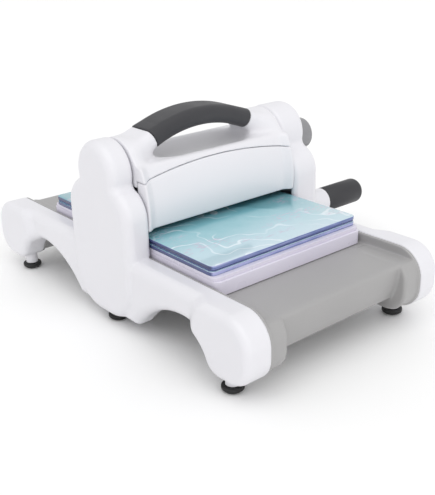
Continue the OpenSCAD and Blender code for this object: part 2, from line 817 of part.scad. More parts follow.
module grip_spindle() {
    color("silver") placed() {
        bar(boss_x + 2.5, spindle_head - boss_x - 2.5, 4, [0, grip_z]);
        bar(spindle_head, 3, 6.5, [0, grip_z]);
    }
}

module crank_grip() {
    color("dimgray") placed() difference() {
        bar(grip_x, grip_len - 6, grip_r, [0, grip_z]);
        bar(grip_x - 1, grip_len, 4 + run_gap, [0, grip_z]);
        bar(spindle_head - 0.3, 20, 7, [0, grip_z]);
    }
}

module grip_end_cap() {
    color("dimgray") placed() translate([grip_x + grip_len - 6, 0, grip_z]) {
        rotate([0, 90, 0]) rotate_extrude() intersection() {
            union() {
                translate([grip_r - 6, 0]) circle(r = 6);
                square([grip_r - 6, 6]);
            }
            square([grip_r, 6]);
        }
        rotate([0, -90, 0]) cylinder(r = 7 - slip_gap, h = 0.6);
    }
}

// ---------- cutting stack ----------

module slab(w, l, t, z, r) {
    translate([-w / 2 + r, stack_y - l / 2, z]) cube([w - 2 * r, l, t]);
    translate([-w / 2, stack_y - l / 2 + r, z]) cube([w, l - 2 * r, t]);
    for (x = [-1, 1]) for (y = [-1, 1])
        translate([x * (w / 2 - r), stack_y + y * (l / 2 - r), z]) cylinder(r = r, h = t);
}

leaf_t = 3;

module platform() {
    color("thistle") placed() slab(platform_w, platform_len, platform_t - leaf_t, stack_z, 4);
}

module platform_leaf() {
    color("lavender") placed()
        slab(platform_w, platform_len - 4, leaf_t, stack_z + platform_t - leaf_t, 4);
}

module lower_cutting_pad() {
    color("steelblue") placed() slab(platform_w, pad_len, pad_t, stack_z + platform_t, 3);
}

module card_sheet() {
    color("aquamarine") placed()
        slab(platform_w - 2, pad_len - 2, card_t, stack_z + platform_t + pad_t, 1);
}

// Thin plate die with three open cutting shapes
module cutting_die() {
    z = stack_z + platform_t + pad_t + card_t;
    color("skyblue") placed() difference() {
        slab(platform_w - 1, pad_len - 1, die_t, z, 3);
        for (y = [-1, 0, 1]) translate([0, stack_y + y * pad_len / 3.4, z - 1])
            cylinder(r = platform_w / 6, h = die_t + 2);
    }
}

module upper_cutting_pad() {
    color("lightblue") placed()
        slab(platform_w, pad_len, pad_t, stack_z + stack_h - pad_t, 3);
}

left_side_cover();
right_side_cover();
base_tray();
top_cover();
front_fascia();
rear_fascia();
handle_grip();
left_side_plate();
right_side_plate();
tie_rods();
tie_rod_screws();
cover_screws();
plate_screws();
lower_roller_bushes();
upper_roller_bushes();
crank_shaft_bushes();
thrust_washers();
rubber_feet();
foot_screws();
lower_roller();
lower_sync_gear();
lower_gear_key();
lower_gear_circlip();
upper_roller();
upper_sync_gear();
drive_gear();
upper_gear_keys();
upper_gear_circlips();
crank_shaft();
crank_hub();
crank_arm();
crank_screw();
crank_hub_cap();
grip_spindle();
crank_grip();
grip_end_cap();
platform();
platform_leaf();
lower_cutting_pad();
card_sheet();
cutting_die();
upper_cutting_pad();
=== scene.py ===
"""Looks of a hand-cranked die cutting machine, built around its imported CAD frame."""

import json
import math

import bpy
import numpy as np
from mathutils import Matrix, Vector

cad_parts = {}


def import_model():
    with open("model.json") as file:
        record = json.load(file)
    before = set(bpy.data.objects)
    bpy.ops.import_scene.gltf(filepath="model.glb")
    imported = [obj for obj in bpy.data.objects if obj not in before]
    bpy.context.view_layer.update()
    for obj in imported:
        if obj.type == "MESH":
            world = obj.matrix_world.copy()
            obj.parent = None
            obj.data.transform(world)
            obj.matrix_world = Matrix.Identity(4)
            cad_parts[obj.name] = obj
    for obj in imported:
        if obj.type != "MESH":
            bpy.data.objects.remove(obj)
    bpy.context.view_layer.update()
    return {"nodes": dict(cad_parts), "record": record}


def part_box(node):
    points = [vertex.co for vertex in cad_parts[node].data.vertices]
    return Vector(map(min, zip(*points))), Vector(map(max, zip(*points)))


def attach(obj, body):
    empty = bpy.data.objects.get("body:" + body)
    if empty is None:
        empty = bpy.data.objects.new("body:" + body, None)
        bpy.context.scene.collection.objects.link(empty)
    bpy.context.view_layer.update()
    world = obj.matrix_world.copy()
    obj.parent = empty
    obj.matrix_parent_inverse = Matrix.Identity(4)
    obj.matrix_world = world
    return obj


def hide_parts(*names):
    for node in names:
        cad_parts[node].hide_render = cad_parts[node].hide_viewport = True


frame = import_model()

# ---------- sizes, in millimetres, about the middle of the feed passage ----------

MM = 0.001


def span(node):
    """Lowest and highest corner of a CAD node, in millimetres, in the row frame."""
    lo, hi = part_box(node)
    return np.array(lo) / MM, np.array(hi) / MM


tray_lo, tray_hi = span("base_tray")
MIDDLE_X = (tray_lo[0] + tray_hi[0]) / 2
SKIRT_X = tray_hi[0] - MIDDLE_X
PASSAGE_X = span("front_fascia")[1][0] - MIDDLE_X
CRANK_OUTER_X = span("right_side_cover")[1][0] - MIDDLE_X
PAD_X = MIDDLE_X - span("left_side_cover")[0][0]
OUTER_X = PAD_X - 2.5
END_Y = span("right_side_cover")[1][1]
LOBE_TOP = span("right_side_cover")[1][2]
BED_Z = 57.6
LOWER_ROLLER_Z = 41.9
RAIL_TOP = 66.5
RAIL_LOW = 14.0
ARCH_TOP = 42.0
ARCH_Y = END_Y - 77
ARCH_R_MID = 78.6
ARCH_R_END = 34.0
HEEL_R = 15.0
TOE_R = 21.5
NOSE_R = 23.5
TAIL_LOW = 11.0
TAIL_R = 5.0
RAIL_X = SKIRT_X + 17.0
HOUSING_HALF = 43.5
HOUSING_LOW = 8.5
LOW_R = 36.0
SHOULDER_R = 24.0
SHOULDER_Z = 97.0
LOBE_R = 26.0
LOBE_Z = LOBE_TOP - LOBE_R
WAIST_R = 5.0
EDGE_R = 8.0
INNER_EDGE_R = 4.5
WALL = 3.0
FASCIA = (34.5, 100.0)
FASCIA_R = 72.5
FASCIA_LOW = 86.0
FASCIA_T = 2.5
FLARE = 4.5
FLARE_LEN = 10.0
SEAM_TOP = 131.5
SEAM_R = 410.0
DECK_Z = 136.0
HANDLE_R = 118.0
HANDLE_HALF = 50.0
handle_lo, handle_hi = span("handle_grip")
HANDLE_TOP = handle_hi[2]
HANDLE_D = (handle_hi[1] - handle_lo[1]) / 2 - 0.6
HANDLE_T = 14.5 / 2
CRANK_Z = (span("crank_hub")[0][2] + span("crank_hub")[1][2]) / 2
GRIP_Z = (span("crank_grip")[0][2] + span("crank_grip")[1][2]) / 2

foot_hi = span("rubber_feet")[1]
FOOT_R = 8.5
FOOT_TOP = foot_hi[2]
FOOT_X = foot_hi[0] - MIDDLE_X - FOOT_R
FOOT_Y = foot_hi[1] - FOOT_R
MIDDLE_FOOT_X = FOOT_X - 2.2
STEM_R = 5.5

# ---------- signed distances ----------


def smooth_min(a, b, k):
    h = np.clip(0.5 + 0.5 * (b - a) / k, 0, 1)
    return b * (1 - h) + a * h - k * h * (1 - h)


def smooth_max(a, b, k):
    return -smooth_min(-a, -b, k)


def smooth_step(t):
    t = np.clip(t, 0, 1)
    return t * t * (3 - 2 * t)


def polar(c, r, a):
    return (c[0] + r * math.cos(math.radians(a)), c[1] + r * math.sin(math.radians(a)))


def arc(c, r, a0, a1):
    """An arc of an outline. It runs anticlockwise round a convex corner and clockwise round a hollow."""
    return {"c": c, "r": r, "a0": a0, "a1": a1}


def outline_distance(parts, u, v):
    """Signed distance to an outline of arcs joined by straight lines, with the inside on its left."""
    best = np.full(np.broadcast(u, v).shape, 1e6)
    ends = [(polar(p["c"], p["r"], p["a0"]), polar(p["c"], p["r"], p["a1"])) for p in parts]
    for p in parts:
        du, dv = u - p["c"][0], v - p["c"][1]
        convex = p["a1"] > p["a0"]
        low, high = min(p["a0"], p["a1"]), max(p["a0"], p["a1"])
        turn = np.mod(np.degrees(np.arctan2(dv, du)) - low, 360)
        d = (np.hypot(du, dv) - p["r"]) * (1 if convex else -1)
        best = np.where((turn <= high - low) & (np.abs(d) < np.abs(best)), d, best)
    for (_, a), (b, _) in zip(ends, ends[1:]):
        lu, lv = b[0] - a[0], b[1] - a[1]
        length = math.hypot(lu, lv)
        if length < 1e-6:
            continue
        lu, lv = lu / length, lv / length
        along = (u - a[0]) * lu + (v - a[1]) * lv
        d = (u - a[0]) * lv - (v - a[1]) * lu
        best = np.where((along >= 0) & (along <= length) & (np.abs(d) < np.abs(best)), d, best)
    return best


def circles_meet(a, ra, b, rb):
    """The right-hand meeting point of two circles, the first above the second."""
    a, b = np.array(a), np.array(b)
    d = np.linalg.norm(b - a)
    t = (ra * ra - rb * rb + d * d) / (2 * d)
    h = math.sqrt(ra * ra - t * t)
    return tuple(a + t * (b - a) / d + h * np.array([a[1] - b[1], b[0] - a[0]]) / d)


def heading(a, b):
    return math.degrees(math.atan2(b[1] - a[1], b[0] - a[0]))


def housing_parts():
    """Right half of a housing's outline in Y and Z, run past the middle at both ends."""
    low = (HOUSING_HALF - LOW_R, HOUSING_LOW + LOW_R)
    shoulder = (HOUSING_HALF - SHOULDER_R, SHOULDER_Z)
    lobe = (0.0, LOBE_Z)
    waist = circles_meet(lobe, LOBE_R + WAIST_R, shoulder, SHOULDER_R + WAIST_R)
    return [
        arc((-20.0, low[1]), LOW_R, -91, -90),
        arc(low, LOW_R, -90, 0),
        arc(shoulder, SHOULDER_R, 0, heading(shoulder, waist)),
        arc(waist, WAIST_R, heading(shoulder, waist) + 180, heading(lobe, waist) + 180),
        arc(lobe, LOBE_R, heading(lobe, waist), 130),
    ]


def rail_parts():
    """Half of a rail's outline in Y and Z, run past the middle of the machine."""
    arch = ARCH_TOP - ARCH_R_MID
    rise = TAIL_LOW + TAIL_R - arch
    tail = (ARCH_Y - math.sqrt((ARCH_R_MID + TAIL_R) ** 2 - rise * rise), TAIL_LOW + TAIL_R)
    tail_a = heading(tail, (ARCH_Y, arch))
    low = ARCH_TOP - ARCH_R_END
    rise = RAIL_LOW + HEEL_R - low
    heel = (ARCH_Y + math.sqrt((ARCH_R_END + HEEL_R) ** 2 - rise * rise), RAIL_LOW + HEEL_R)
    heel_a = heading((ARCH_Y, low), heel)
    return [
        arc((-20.0, tail[1]), TAIL_R, -91, -90),
        arc(tail, TAIL_R, -90, tail_a),
        arc((ARCH_Y, arch), ARCH_R_MID, 180 + tail_a, 90),
        arc((ARCH_Y, low), ARCH_R_END, 90, heel_a),
        arc(heel, HEEL_R, 180 + heel_a, 270),
        arc((END_Y - TOE_R, RAIL_LOW + TOE_R), TOE_R, 270, 360),
        arc((END_Y - NOSE_R, RAIL_TOP - NOSE_R), NOSE_R, 0, 90),
        arc((-20.0, RAIL_TOP - NOSE_R), NOSE_R, 90, 91),
    ]


HOUSING = housing_parts()
RAIL = rail_parts()


def slab(d, x, level, r):
    """A 2D distance d made solid below x = level, with an edge of radius r."""
    a, b = x - (level - r), d + r
    return np.minimum(np.maximum(a, b), 0) + np.hypot(np.maximum(a, 0), np.maximum(b, 0)) - r


def side_cover_field(outer):
    """Right-hand cover: the round-lobed housing, the rail through it, and the raised rail-end pads."""

    def field(x, y, z):
        ay = np.abs(y)
        housing = outline_distance(HOUSING, ay, z)
        rail = outline_distance(RAIL, ay, z)
        pad_centre, pad_r, pad_fade = (END_Y - 24, 40.0), 39.5, 12.0
        pad = np.hypot(ay - pad_centre[0], z - pad_centre[1]) - pad_r
        raised = smooth_step(0.5 - pad / pad_fade)
        level = RAIL_X + (PAD_X - RAIL_X) * raised
        body = np.maximum(slab(housing, x, outer, EDGE_R),
                          slab(housing, -x, -PASSAGE_X - 0.2, INNER_EDGE_R))
        arm = slab(rail, x, level, 8.0 - 2.0 * raised)
        both = smooth_min(body, arm, 1.4)
        both = smooth_max(both, PASSAGE_X + 0.2 - x, 0.6)
        both = smooth_max(both, np.minimum(SKIRT_X + 0.1 - x, RAIL_TOP + 0.3 - z), 0.8)
        both = smooth_min(both, stems(x, ay, z), 1.0)
        lip = 2.6 * smooth_step((PASSAGE_X + 5 - x) / 3)
        inside = np.minimum(slab(housing + WALL + lip, x, outer - WALL, EDGE_R - WALL),
                            slab(rail + WALL, x, level - WALL, 4.0))
        return np.maximum(both, -inside)

    return field


def stems(x, ay, z):
    """Short stems that the rubber feet are screwed to."""
    end = np.hypot(x - FOOT_X, ay - FOOT_Y)
    middle = np.hypot(x - MIDDLE_FOOT_X, ay)
    top = np.where(ay > FOOT_Y / 2, RAIL_LOW, HOUSING_LOW) + 1.2
    column = np.minimum(end, middle) - STEM_R
    return np.maximum(column, np.maximum(z - top, FOOT_TOP - z))


def flare(x):
    """How far the centre covers swell to meet the housings at their two ends."""
    return FLARE * smooth_step((np.abs(x) - PASSAGE_X + FLARE_LEN) / FLARE_LEN)


def dome_field(x, y, z):
    """Centre cover under the handle, with its hand trough."""
    ay = np.abs(y)
    dome = np.hypot(ay + FASCIA[0], z - FASCIA[1]) - FASCIA_R - flare(x)
    dome = smooth_max(dome, z - DECK_Z, 3.5)
    trough_r, trough_half, depth = 37.1, 31.0, 8.0
    run = np.maximum(np.abs(x) - trough_half, 0)
    trough = np.sqrt(run * run + y * y + (z - DECK_Z + depth - trough_r) ** 2) - trough_r
    return smooth_max(dome, -trough, 2.5)


def handle_field(x, y, z, proud):
    """Arched bar of the carrying handle, which widens towards its ends."""
    middle = HANDLE_TOP - 0.6 - HANDLE_T - HANDLE_R
    out = np.hypot(x, z - middle) - HANDLE_R
    t = np.clip((np.abs(x) - HANDLE_HALF + 6) / 30, 0, 1)
    half_t = HANDLE_T + proud + 2.5 * t
    half_d = HANDLE_D + proud + 6 * t * t
    corner = half_t * 0.92
    a, b = np.abs(out) - half_t + corner, np.abs(y) - half_d + corner
    return np.minimum(np.maximum(a, b), 0) + np.hypot(np.maximum(a, 0), np.maximum(b, 0)) - corner


def handle_cut(x, z):
    """How far past the joint between grip and stub a point is, along the handle."""
    middle = HANDLE_TOP - 0.6 - HANDLE_T - HANDLE_R
    a = math.asin(HANDLE_HALF / HANDLE_R)
    return np.abs(x) * math.cos(a) - (z - middle) * math.sin(a)


def top_cover_field(x, y, z):
    ax, ay = np.abs(x), np.abs(y)
    dome = dome_field(x, y, z)
    drum = np.hypot(y, z - LOBE_Z) - (LOBE_R - 0.8)
    drum = smooth_max(drum, 68 - ax, 10)
    stub = handle_field(x, y, z, 0.0)
    stub = smooth_max(stub, 0.15 - handle_cut(x, z), 0.6)
    stub = np.maximum(stub, ax - PASSAGE_X - 4)
    whole = smooth_min(smooth_min(dome, drum, 7), stub, 9)
    keep_off = np.maximum(handle_field(x, y, z, 0.9), handle_cut(x, z))
    whole = np.maximum(whole, -keep_off)
    seam = SEAM_TOP - SEAM_R
    below = np.maximum(np.hypot(x, z - seam) - SEAM_R - 0.15, 27 - ay)
    whole = smooth_max(whole, -below, 0.9)
    whole = smooth_max(whole, ax - PASSAGE_X + 0.3, 1.4)
    return np.maximum(whole, 119 - z)


def fascia_field(x, y, z):
    """Front fascia: a curved plate with an arched upper edge."""
    out = np.hypot(y - FASCIA[0], z - FASCIA[1]) - FASCIA_R - flare(x)
    plate = np.maximum(out, -out - FASCIA_T - flare(x))
    lip = np.maximum(np.maximum(out, y + 28.6), z - FASCIA_LOW - FASCIA_T)
    ends = np.maximum(np.maximum(out, y + 28), PASSAGE_X - 2.8 - np.abs(x))
    plate = np.minimum(plate, np.minimum(lip, ends))
    plate = smooth_max(plate, FASCIA_LOW - z, 1.6)
    seam = SEAM_TOP - SEAM_R
    plate = smooth_max(plate, np.hypot(x, z - seam) - SEAM_R + 0.3, 0.9)
    plate = smooth_max(plate, np.abs(x) - PASSAGE_X + 0.3, 1.4)
    return np.maximum(plate, y)


def grip_field(x, y, z):
    bar = handle_field(x, y, z, 0.6)
    return smooth_max(bar, handle_cut(x, z) + 0.15, 1.6)


def tray_field(x, y, z):
    """Bed with its skirts, cheeks and the curved aprons between the cheeks."""
    ax, ay = np.abs(x), np.abs(y)
    apron_y, apron_r, corner = END_Y - 9, 60.0, 3.0
    profile = [
        arc((apron_y - apron_r, BED_Z - corner), apron_r, -60, 0),
        arc((apron_y - corner, BED_Z - corner), corner, 0, 90),
        arc((-20.0, BED_Z - corner), corner, 90, 91),
    ]
    out = outline_distance(profile, ay, z)
    shell = np.maximum(out, -out - 2.8)
    shell = smooth_max(shell, 27 - z, 1.5)
    shell = np.maximum(shell, ax - PASSAGE_X - 1)
    rail = outline_distance(RAIL, ay, z)
    cheek = slab(np.maximum(rail + 2, z - BED_Z), -ax, -(PASSAGE_X - 15), 2.5)
    cheek = np.maximum(cheek, END_Y - 53 - ay)
    skirt = np.maximum(rail + 0.6, np.maximum(PASSAGE_X - ax, ax - SKIRT_X))
    skirt = np.maximum(skirt, z - RAIL_TOP + 0.6)
    whole = smooth_min(shell, cheek, 1.8)
    whole = smooth_min(whole, skirt, 1.6)
    window = np.maximum(np.maximum(ay - 13, ax - PASSAGE_X + 0.5), 50 - z)
    whole = np.maximum(whole, -window)
    hole = np.maximum(np.hypot(y, z - LOWER_ROLLER_Z) - 9.5, PASSAGE_X - 2 - ax)
    return np.maximum(whole, -hole)


# ---------- mesh makers ----------


def new_object(name, points, faces, material):
    """A mesh object from points in millimetres about the middle of the passage."""
    points = (np.asarray(points, float) + (MIDDLE_X, 0, 0)) * MM
    mesh = bpy.data.meshes.new(name)
    mesh.from_pydata(points.tolist(), [], [list(map(int, f)) for f in faces])
    mesh.validate()
    mesh.update()
    mesh.shade_smooth()
    mesh.materials.append(material)
    made = bpy.data.objects.new(name, mesh)
    bpy.context.scene.collection.objects.link(made)
    return made


CORNERS = [(i, j, k) for i in (0, 1) for j in (0, 1) for k in (0, 1)]
EDGES = [(a, b) for a in CORNERS for b in CORNERS if a < b and sum(abs(p - q) for p, q in zip(a, b)) == 1]


def net(field, low, high, cell):
    """Surface net of a signed distance field: points drawn onto the surface, and outward quads."""
    axes = [np.arange(low[i] - cell, high[i] + 2 * cell, cell) for i in range(3)]
    shape = tuple(len(a) for a in axes)
    grid = (axes[0][:, None, None], axes[1][None, :, None], axes[2][None, None, :])
    value = np.broadcast_to(field(*grid), shape)
    solid = value < 0
    count = sum(
        solid[i:shape[0] - 1 + i, j:shape[1] - 1 + j, k:shape[2] - 1 + k].astype(np.int8)
        for i, j, k in CORNERS
    )
    active = (count > 0) & (count < 8)
    number = np.full(active.shape, -1)
    number[active] = np.arange(active.sum())
    at = np.stack(np.nonzero(active), 1)
    total, weight = np.zeros((len(at), 3)), np.zeros(len(at))
    for a, b in EDGES:
        fa = value[tuple((at + a).T)]
        fb = value[tuple((at + b).T)]
        cross = (fa < 0) != (fb < 0)
        t = fa[cross] / (fa[cross] - fb[cross])
        total[cross] += np.array(a) + t[:, None] * (np.array(b) - np.array(a))
        weight[cross] += 1
    points = np.array([a[0] for a in axes]) + cell * (at + total / weight[:, None])
    points = settle(field, points, cell)
    faces = []
    for axis in range(3):
        u, v = (axis + 1) % 3, (axis + 2) % 3
        first = [slice(1, -1)] * 3
        second = [slice(1, -1)] * 3
        first[axis], second[axis] = slice(0, -1), slice(1, None)
        change = solid[tuple(first)] != solid[tuple(second)]
        cells = np.stack(np.nonzero(change), 1)
        cells[:, u] += 1
        cells[:, v] += 1
        leaving = solid[tuple(cells.T)]
        ring = []
        for du, dv in ((-1, -1), (0, -1), (0, 0), (-1, 0)):
            c = cells.copy()
            c[:, u] += du
            c[:, v] += dv
            ring.append(number[tuple(c.T)])
        quads = np.stack(ring, 1)
        quads[~leaving] = quads[~leaving][:, ::-1]
        faces.append(quads)
    return points, np.concatenate(faces)


def settle(field, points, cell):
    """Moves points onto the field's surface."""
    h = 0.02
    for _ in range(4):
        x, y, z = points.T
        f = field(x, y, z)
        g = np.stack([
            field(x + h, y, z) - field(x - h, y, z),
            field(x, y + h, z) - field(x, y - h, z),
            field(x, y, z + h) - field(x, y, z - h)], 1) / (2 * h)
        step = g * (f / np.maximum((g * g).sum(1), 0.2))[:, None]
        size = np.linalg.norm(step, axis=1, keepdims=True)
        points = points - step * np.minimum(1, 0.6 * cell / np.maximum(size, 1e-9))
    return points


def mirrored(points, faces, axis):
    flip = np.ones(3)
    flip[axis] = -1
    return points * flip, faces[:, ::-1]


def lathe_x(profile, at, segments=96):
    """Turns a profile of (x, radius) points about an axis along X at (y, z). It closes on radius 0."""
    points, faces = [], []
    for x, r in profile:
        for s in range(segments):
            a = 2 * math.pi * s / segments
            points.append((x, at[0] + r * math.cos(a), at[1] + r * math.sin(a)))
    for i in range(len(profile) - 1):
        for s in range(segments):
            t = (s + 1) % segments
            faces.append((i * segments + s, i * segments + t,
                          (i + 1) * segments + t, (i + 1) * segments + s))
    faces.append([s for s in range(segments)][::-1])
    faces.append([(len(profile) - 1) * segments + s for s in range(segments)])
    return points, faces


def rounded(x0, x1, r, corner, steps=6):
    """Profile of a drum from x0 to x1 with both rims rounded."""
    left = [(x0 + corner - corner * math.cos(a), r - corner + corner * math.sin(a))
            for a in (math.pi / 2 * i / steps for i in range(steps + 1))]
    right = [(x0 + x1 - x, q) for x, q in reversed(left)]
    return [(x0, 0.05)] + left + right + [(x1, 0.05)]


def plate_mesh(w, l, z0, z1, corner, edge, y_mid):
    """Flat plate with rounded corners and softened upper and lower edges."""
    steps = 4
    low = [(z0 + edge * (1 - math.cos(a)), edge * (1 - math.sin(a)))
           for a in (math.pi / 2 * i / steps for i in range(steps + 1))]
    high = [(z0 + z1 - z, d) for z, d in reversed(low)]
    points, faces = [], []
    count = 0
    for z, d in low + high:
        ring = []
        for q, (sx, sy) in enumerate(((1, 1), (-1, 1), (-1, -1), (1, -1))):
            for i in range(7):
                a = math.radians(90 * q + 15 * i)
                r = corner - d
                ring.append((sx * (w / 2 - corner) + r * math.cos(a),
                             y_mid + sy * (l / 2 - corner) + r * math.sin(a), z))
        count = len(ring)
        points += ring
    rows = len(low) + len(high)
    for i in range(rows - 1):
        for s in range(count):
            t = (s + 1) % count
            faces.append((i * count + s, i * count + t, (i + 1) * count + t, (i + 1) * count + s))
    faces.append([s for s in range(count)][::-1])
    faces.append([(rows - 1) * count + s for s in range(count)])
    return points, faces


# ---------- materials ----------


class Nodes:
    """A Principled material with short calls to add and join nodes."""

    def __init__(self, name):
        self.material = bpy.data.materials.new(name)
        self.material.use_nodes = True
        self.tree = self.material.node_tree
        self.shader = self.tree.nodes["Principled BSDF"]

    def add(self, kind, **settings):
        made = self.tree.nodes.new(kind)
        for key, value in settings.items():
            if hasattr(made, key):
                setattr(made, key, value)
            else:
                made.inputs[key.replace("_", " ")].default_value = value
        return made

    def join(self, a, b):
        self.tree.links.new(a, b)

    def set(self, **sockets):
        for key, value in sockets.items():
            self.shader.inputs[key.replace("_", " ")].default_value = value

    def position(self, scale=(1, 1, 1)):
        coords = self.add("ShaderNodeTexCoord")
        mapping = self.add("ShaderNodeMapping")
        mapping.inputs["Scale"].default_value = scale
        self.join(coords.outputs["Object"], mapping.inputs["Vector"])
        return mapping.outputs["Vector"]

    def noise(self, vector, scale, detail=3.0, roughness=0.5):
        made = self.add("ShaderNodeTexNoise")
        made.inputs["Scale"].default_value = scale
        made.inputs["Detail"].default_value = detail
        made.inputs["Roughness"].default_value = roughness
        self.join(vector, made.inputs["Vector"])
        return made.outputs["Fac"]

    def ramp(self, value, stops):
        made = self.add("ShaderNodeValToRGB")
        while len(made.color_ramp.elements) < len(stops):
            made.color_ramp.elements.new(0.5)
        for element, (place, colour) in zip(made.color_ramp.elements, stops):
            element.position = place
            element.color = (*colour, 1)
        self.join(value, made.inputs["Fac"])
        return made.outputs["Color"]

    def spread(self, value, low, high):
        """Maps 0..1 to low..high."""
        made = self.add("ShaderNodeMapRange")
        made.inputs["From Min"].default_value = 0.3
        made.inputs["From Max"].default_value = 0.7
        made.inputs["To Min"].default_value = low
        made.inputs["To Max"].default_value = high
        self.join(value, made.inputs["Value"])
        return made.outputs["Result"]

    def bump(self, height, strength, distance, normal=None):
        made = self.add("ShaderNodeBump")
        made.inputs["Strength"].default_value = strength
        made.inputs["Distance"].default_value = distance
        self.join(height, made.inputs["Height"])
        if normal is not None:
            self.join(normal, made.inputs["Normal"])
        return made.outputs["Normal"]

    def mix(self, factor, a, b):
        made = self.add("ShaderNodeMix", data_type="RGBA")
        for socket, value in ((made.inputs[0], factor), (made.inputs[6], a), (made.inputs[7], b)):
            if isinstance(value, (int, float)):
                socket.default_value = value
            elif isinstance(value, tuple):
                socket.default_value = (*value, 1)
            else:
                self.join(value, socket)
        return made.outputs[2]

    def math(self, operation, a, b=0.0):
        made = self.add("ShaderNodeMath", operation=operation)
        for socket, value in zip(made.inputs, (a, b)):
            if isinstance(value, (int, float)):
                socket.default_value = value
            else:
                self.join(value, socket)
        return made.outputs[0]

    def split(self, vector):
        made = self.add("ShaderNodeSeparateXYZ")
        self.join(vector, made.inputs[0])
        return made.outputs


def moulded(name, light, dark, gloss, grain=900.0, grain_depth=0.00004, coat=0.0, mottled=6.0):
    """Moulded plastic: faint tone drift, uneven gloss and a fine spark-eroded grain."""
    m = Nodes(name)
    place = m.position()
    drift = m.noise(place, mottled, 4.0)
    m.join(m.ramp(drift, [(0.3, dark), (0.7, light)]), m.shader.inputs["Base Color"])
    m.join(m.spread(m.noise(place, 38.0, 5.0), gloss - 0.04, gloss + 0.05), m.shader.inputs["Roughness"])
    grain_out = m.noise(place, grain, 2.0)
    m.join(m.bump(grain_out, 0.35, grain_depth), m.shader.inputs["Normal"])
    m.set(Coat_Weight=coat, Coat_Roughness=0.12, IOR=1.49)
    return m.material


def metal(name, light, dark, gloss, axis=0, scratch=0.25):
    """Ground or plated metal with fine marks along one axis."""
    m = Nodes(name)
    scale = [900.0, 900.0, 900.0]
    scale[axis] = 25.0
    place = m.position()
    marks = m.noise(m.position(tuple(scale)), 1.0, 3.0, 0.6)
    drift = m.noise(place, 30.0, 4.0)
    m.join(m.ramp(m.math("ADD", m.math("MULTIPLY", marks, 0.6), m.math("MULTIPLY", drift, 0.4)),
                  [(0.3, dark), (0.7, light)]), m.shader.inputs["Base Color"])
    m.join(m.spread(marks, gloss - 0.08, gloss + 0.1), m.shader.inputs["Roughness"])
    m.join(m.bump(marks, scratch, 0.00003), m.shader.inputs["Normal"])
    m.set(Metallic=1.0)
    return m.material


def soft_rubber(name, light, dark):
    """Soft-touch rubber: very fine leathery grain with a dull sheen."""
    m = Nodes(name)
    place = m.position()
    m.join(m.ramp(m.noise(place, 14.0, 5.0), [(0.3, dark), (0.7, light)]), m.shader.inputs["Base Color"])
    cells = m.add("ShaderNodeTexVoronoi")
    cells.inputs["Scale"].default_value = 1500.0
    m.join(place, cells.inputs["Vector"])
    fine = m.noise(place, 700.0, 3.0)
    m.join(m.bump(cells.outputs["Distance"], 0.25, 0.00006, m.bump(fine, 0.2, 0.00005)),
           m.shader.inputs["Normal"])
    m.join(m.spread(m.noise(place, 60.0, 4.0), 0.5, 0.62), m.shader.inputs["Roughness"])
    m.set(Sheen_Weight=0.08, Sheen_Roughness=0.5)
    return m.material


WHITE = moulded("white_plastic", (0.785, 0.78, 0.815), (0.76, 0.755, 0.79), 0.33, coat=0.12)
GREY = moulded("tray_plastic", (0.385, 0.38, 0.38), (0.36, 0.355, 0.355), 0.42, 1400.0, 0.00008)
GRIP = soft_rubber("handle_rubber", (0.036, 0.036, 0.041), (0.028, 0.028, 0.033))
CRANK_GRIP = moulded("crank_grip_plastic", (0.034, 0.034, 0.039), (0.027, 0.027, 0.031), 0.42,
                     1200.0, 0.00006)
HUB = moulded("hub_plastic", (0.27, 0.27, 0.28), (0.22, 0.22, 0.23), 0.35, 1200.0, 0.00005, coat=0.2)
RUBBER = moulded("foot_rubber", (0.016, 0.016, 0.017), (0.011, 0.011, 0.012), 0.6, 800.0, 0.00008)
PLATED = metal("plated_steel", (0.62, 0.62, 0.64), (0.5, 0.5, 0.52), 0.38, 2)
BLACKENED = metal("blackened_steel", (0.16, 0.16, 0.17), (0.1, 0.1, 0.11), 0.42, 0)
GROUND = metal("ground_steel", (0.7, 0.71, 0.73), (0.6, 0.61, 0.63), 0.25, 1)
GEAR = metal("gear_steel", (0.4, 0.4, 0.41), (0.3, 0.3, 0.31), 0.35, 0)
BRONZE = metal("bush_bronze", (0.6, 0.4, 0.2), (0.45, 0.29, 0.14), 0.4, 0)


def platform_material():
    m = Nodes("platform_sheet")
    place = m.position()
    m.join(m.ramp(m.noise(place, 9.0, 4.0), [(0.3, (0.66, 0.63, 0.74)), (0.7, (0.74, 0.71, 0.81))]),
           m.shader.inputs["Base Color"])
    m.join(m.spread(m.noise(place, 70.0, 4.0), 0.26, 0.36), m.shader.inputs["Roughness"])
    m.join(m.bump(m.noise(place, 600.0, 2.0), 0.2, 0.00003), m.shader.inputs["Normal"])
    m.set(Coat_Weight=0.2)
    return m.material


